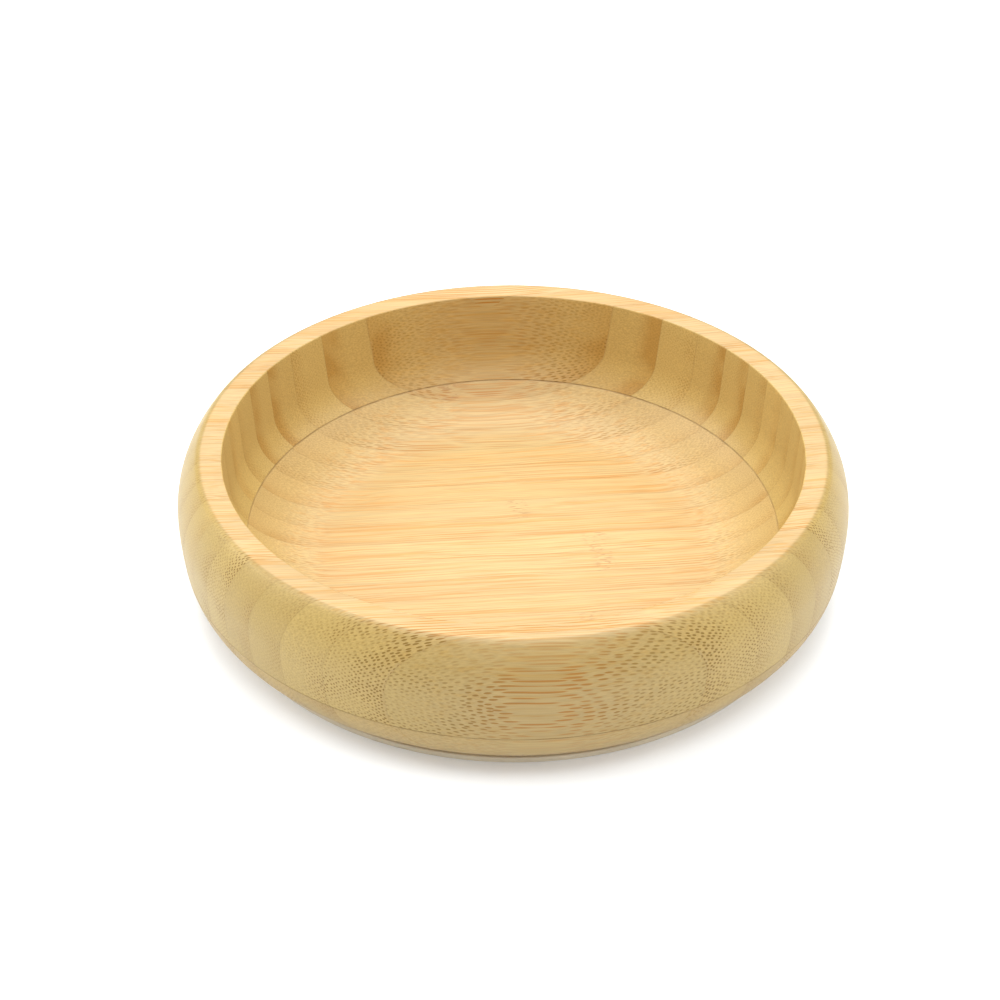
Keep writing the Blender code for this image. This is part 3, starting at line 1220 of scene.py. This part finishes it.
@dataclass
class ReleaseTab:
    """The tab at the back that peels the lip off the table."""

    finish: bpy.types.Material
    ring_radius: float
    node: str = "release_tab"
    corner: float = 0.0035
    edge_round: float = 0.00028
    overlap: float = 0.0007
    bend_start: float = -0.0002
    bend_length: float = 0.0020
    ribs: int = 3
    rib_pitch: float = 0.0017
    rib_width: float = 0.0008
    rib_height: float = 0.00030
    rib_inset: float = 0.0035
    side_spans: int = 8
    bend_spans: int = 6
    tolerance: float = 1e-7
    sharp_over: float = math.radians(50)

    def outline(self, low: Vector, high: Vector) -> Section:
        """Draws the tab in plan, anticlockwise from its root's left end.

        Args:
            low: The node's lowest corner.
            high: The node's highest corner.

        Returns:
            X and Y of each point.
        """
        half = high.x
        root_radius = self.ring_radius - self.overlap
        reach = math.asin(half / root_radius)
        right = arc((half - self.corner, high.y - self.corner), (self.corner,) * 2, 0.0, QUARTER, steps=10)
        left = [(-x, y) for x, y in reversed(right)]
        start, spans = root_radius * math.cos(reach), self.side_spans
        right_side = [(half, start + (right[0][1] - start) * k / spans) for k in range(1, spans)]
        left_side = [(-x, y) for x, y in reversed(right_side)]
        root = arc((0.0, 0.0), (root_radius,) * 2, QUARTER + reach, QUARTER - reach, steps=16)
        return root + right_side + right + left + left_side

    def build(self) -> bpy.types.Object:
        """Builds the tab.

        Returns:
            The tab.
        """
        low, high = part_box(self.node)
        solid = bmesh.new()
        corners = [solid.verts.new((x, y, low.z)) for x, y in self.outline(low, high)]
        face = solid.faces.new(corners)
        lifted = bmesh.ops.extrude_face_region(solid, geom=[face])
        raised = [v for v in lifted["geom"] if isinstance(v, bmesh.types.BMVert)]
        top = high.z - self.rib_height
        bmesh.ops.translate(solid, verts=raised, vec=(0, 0, top - low.z))
        bmesh.ops.recalc_face_normals(solid, faces=solid.faces[:])
        rims = [e for e in solid.edges if abs(e.verts[0].co.z - e.verts[1].co.z) < self.tolerance]
        bmesh.ops.bevel(solid, geom=rims, offset=self.edge_round, segments=3, profile=0.5, affect="EDGES")
        self.cut_rows(solid, low, high)
        self.raise_ribs(solid, high, top)
        piece = finished_piece("moulded_release_tab", in_fixed_order(solid), self.sharp_over)
        piece.data.materials.append(self.finish)
        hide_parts(self.node)
        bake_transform(piece)
        log.info("%s: %d faces", piece.name, len(piece.data.polygons))
        return piece

    def rib_lines(self, high: Vector) -> list[float]:
        """Y of each grip rib's middle line, from the tab's end inwards."""
        return [high.y - self.corner / 2 - self.rib_pitch * (k + 0.5) for k in range(self.ribs)]

    def cut_rows(self, solid: bmesh.types.BMesh, low: Vector, high: Vector) -> None:
        """Cuts the mesh across in rows near its root and at its ribs, so that its ribs have edges.

        Args:
            solid: The tab's mesh.
            low: The node's lowest corner.
            high: The node's highest corner.
        """
        spans = self.bend_spans
        rows = [low.y + self.bend_start + self.bend_length * k / spans for k in range(spans + 1)]
        # Each rib is cut at quarters of its width, on both sides of its middle line and at its ends.
        for middle in self.rib_lines(high):
            rows += [middle + self.rib_width * k / 4 for k in (-2, -1, 0, 1, 2)]
        ends = [high.x - self.rib_inset + self.rib_width * k / 4 for k in (-2, -1, 0)]
        columns = [side * end for side in (-1, 1) for end in ends]
        for normal, places in (((0, 1, 0), rows), ((1, 0, 0), columns)):
            for place in places:
                everything = solid.verts[:] + solid.edges[:] + solid.faces[:]
                point = Vector(normal) * place
                bmesh.ops.bisect_plane(
                    solid, geom=everything, dist=self.tolerance, plane_co=point, plane_no=normal
                )

    def raise_ribs(self, solid: bmesh.types.BMesh, high: Vector, top: float) -> None:
        """Lifts the tab's top face into rounded grip ribs.

        Args:
            solid: The tab's mesh.
            high: The node's highest corner.
            top: Height of the face between the ribs.
        """
        half = high.x - self.rib_inset
        rib_radius = self.rib_width / 2
        for vert in solid.verts:
            if vert.co.z < top - self.tolerance:
                continue
            for middle in self.rib_lines(high):
                across = abs(vert.co.y - middle) / rib_radius
                along = max(0.0, abs(vert.co.x) - half + rib_radius) / rib_radius
                away = math.hypot(across, along)
                if away < 1.0:
                    vert.co.z = top + self.rib_height * math.sqrt(1.0 - away * away)


def direction(azimuth: float, elevation: float) -> Vector:
    """Points from the bowl towards an azimuth, from the front towards +X, and an elevation."""
    flat = math.cos(elevation)
    return Vector((math.sin(azimuth) * flat, -math.cos(azimuth) * flat, math.sin(elevation)))


@dataclass
class SoftLight:
    """A softbox of the studio, aimed at the bowl. Its angles are in degrees."""

    name: str
    azimuth: float
    elevation: float
    width: float
    height: float
    power: float
    distance: float = 0.9

    def build(self) -> bpy.types.Object:
        """Builds the light, facing the bowl.

        Returns:
            The light.
        """
        data = bpy.data.lights.new(self.name, "AREA")
        data.shape = "RECTANGLE"
        data.size, data.size_y = self.width, self.height
        data.energy = self.power
        light = bpy.data.objects.new(self.name, data)
        bpy.context.scene.collection.objects.link(light)
        outward = direction(math.radians(self.azimuth), math.radians(self.elevation))
        light.location = outward * self.distance
        light.rotation_mode = "QUATERNION"
        light.rotation_quaternion = (-outward).to_track_quat("-Z", "Y")
        return light


@dataclass
class Studio:
    """A plain pale floor under soft light."""

    paper: PaperFinish
    floor_half_width: float = 1.6
    sky: Colour = (1.0, 1.0, 1.0)
    sky_strength: float = 0.58
    lights: list[SoftLight] = field(default_factory=list)

    def build_floor(self) -> bpy.types.Object:
        """Builds the floor.

        Returns:
            The floor.
        """
        solid = bmesh.new()
        bmesh.ops.create_grid(solid, x_segments=8, y_segments=8, size=self.floor_half_width)
        floor = finished_piece("studio_floor", solid, math.radians(30))
        floor.data.materials.append(self.paper.material())
        return floor

    def build_sky(self) -> bpy.types.World:
        """Builds the even light that comes from all round.

        Returns:
            The world.
        """
        world = bpy.data.worlds.new("studio_air")
        world.use_nodes = True
        background = world.node_tree.nodes["Background"]
        background.inputs["Color"].default_value = (*self.sky, 1.0)
        background.inputs["Strength"].default_value = self.sky_strength
        bpy.context.scene.world = world
        return world

    def build(self) -> None:
        """Builds the floor, the sky and the lights, and sets a plain view of their colours."""
        self.build_floor()
        self.build_sky()
        for light in self.lights:
            light.build()
            log.info("%s: %.1f W", light.name, light.power)
        bpy.context.scene.view_settings.view_transform = "Standard"


@dataclass
class ProductCamera:
    """The camera that looks down at the bowl from the front."""

    azimuth: float = math.radians(-5.5)
    elevation: float = math.radians(35.485)
    roll: float = math.radians(0.128)
    distance: float = 0.51571
    aim: tuple[float, float, float] = (-0.00231, 0.00667, 0.01420)
    lens: float = 80.918
    sensor: float = 36.0
    nearest: float = 0.01
    farthest: float = 20.0

    def build(self) -> bpy.types.Object:
        """Builds the camera and makes it the scene's.

        Returns:
            The camera.
        """
        data = bpy.data.cameras.new("product_camera")
        data.lens, data.sensor_width = self.lens, self.sensor
        camera = bpy.data.objects.new("product_camera", data)
        bpy.context.scene.collection.objects.link(camera)
        back = direction(self.azimuth, self.elevation)
        camera.location = Vector(self.aim) + back * self.distance
        camera.rotation_mode = "QUATERNION"
        level = (-back).to_track_quat("-Z", "Y")
        camera.rotation_quaternion = level @ Quaternion((0, 0, 1), self.roll)
        data.clip_start, data.clip_end = self.nearest, self.farthest
        bpy.context.scene.camera = camera
        return camera


def studio_lights() -> list[SoftLight]:
    """Sets up the studio's lights: two above, one on each side, one behind and a weak one in front.

    Returns:
        The lights.
    """
    return [
        SoftLight("overhead_softbox", azimuth=0, elevation=90, width=0.9, height=0.9, power=4.8),
        SoftLight("high_back_softbox", azimuth=180, elevation=65, width=0.6, height=0.6, power=4.5),
        SoftLight("left_softbox", azimuth=-100, elevation=35, width=0.6, height=0.6, power=4.6),
        SoftLight("right_softbox", azimuth=80, elevation=35, width=0.6, height=0.6, power=3.2),
        SoftLight("back_softbox", azimuth=175, elevation=35, width=0.8, height=0.5, power=1.8, distance=1.0),
        SoftLight("front_softbox", azimuth=0, elevation=50, width=0.8, height=0.8, power=2.9),
    ]


def bamboo_finishes(joint_height: float) -> tuple[BambooFinish, BambooFinish]:
    """Sets up the finishes of the two boards, which were cut from different culms.

    Args:
        joint_height: Height of the joint between them, in millimetres.

    Returns:
        The wall board's finish and the floor board's.
    """
    wall = BambooFinish(
        "bamboo_wall",
        ground=(0.43, 0.300, 0.130),
        warm=(0.42, 0.240, 0.065),
        side_grain=(0.44, 0.295, 0.100),
        end_grain=(0.475, 0.325, 0.104),
        streak=(0.37, 0.160, 0.024),
        bundle=(0.230, 0.125, 0.018),
        joint_height=joint_height,
    )
    floor = BambooFinish(
        "bamboo_floor",
        ground=(0.48, 0.335, 0.142),
        warm=(0.48, 0.265, 0.080),
        side_grain=(0.42, 0.290, 0.105),
        end_grain=(0.46, 0.310, 0.112),
        streak=(0.40, 0.170, 0.036),
        bundle=(0.270, 0.150, 0.036),
        joint_height=joint_height,
        inside_skin=0.5,
    )
    return wall, floor


def main() -> None:
    """Builds the camera, the studio and every visible piece of the bowl."""
    logging.basicConfig(level=logging.INFO, format="%(name)s: %(message)s")
    ProductCamera().build()
    Studio(PaperFinish(), lights=studio_lights()).build()
    shape = BowlSection()
    wall, floor = bamboo_finishes(shape.joint_height / MILLIMETRE)
    speckles = {1: 1.25, 2: 1.55, 6: 1.05, 19: 0.85, 20: 1.1}
    warmths = {15: 0.1, 17: -0.12, 18: 0.26, 19: 0.2}
    WallBoard(shape, wall, Slot.WALL, speckles=speckles, warmths=warmths).build()
    culm_nodes = {7: 14.5, 10: 20.5, 11: 19.5, 13: 3.0, 19: -10.0}
    FloorBoard(shape, floor, Slot.FLOOR, culm_nodes=culm_nodes).build()
    silicone = SiliconeFinish().material()
    SuctionRing(shape, silicone).build()
    ring_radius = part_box("suction_ring")[1].x
    ReleaseTab(silicone, ring_radius).build()


if __name__ == "__main__":
    main()
